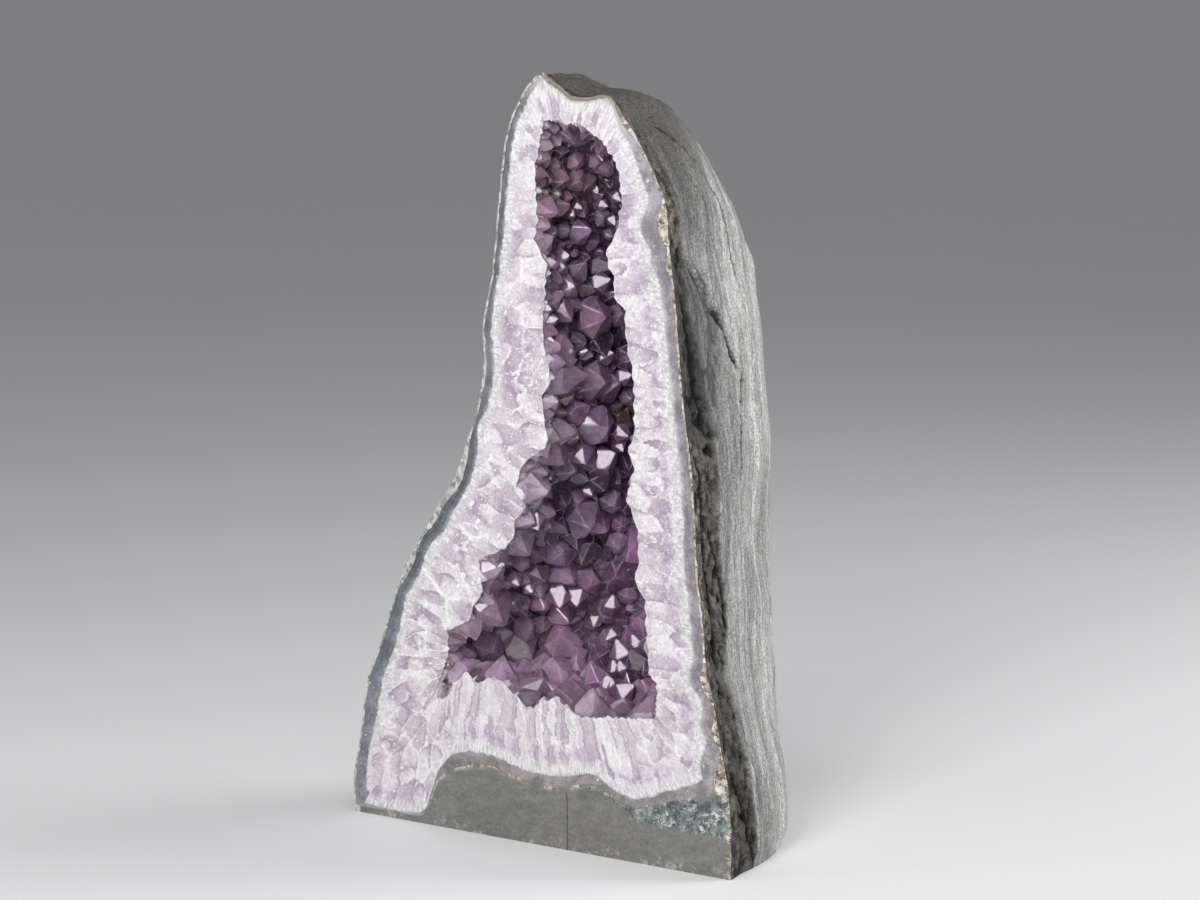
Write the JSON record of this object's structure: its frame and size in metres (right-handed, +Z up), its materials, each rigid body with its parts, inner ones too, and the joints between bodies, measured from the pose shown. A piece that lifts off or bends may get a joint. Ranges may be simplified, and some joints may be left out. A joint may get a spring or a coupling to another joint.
{
  "type": "amethyst cathedral geode",
  "caption": "Tall free-standing half geode: a basalt rind round a band of agate and pale quartz, open in front on a hollow lined with violet amethyst crystals.",
  "frame": {"origin": "middle of the object's box on the flat base that it stands on", "axes": "+Z up, -Y out of the sawn face, +X to the viewer's right when looking at that face"},
  "size_m": [0.2547, 0.135, 0.4117],
  "materials": {
    "basalt": "matte ground rock",
    "pale_quartz": "sawn and polished",
    "amethyst": "glossy crystal faces"
  },
  "bodies": {
    "root": {"basalt_rind": "basalt", "quartz_wall": "pale_quartz", "amethyst_crust": "amethyst"}
  },
  "joints": []
}
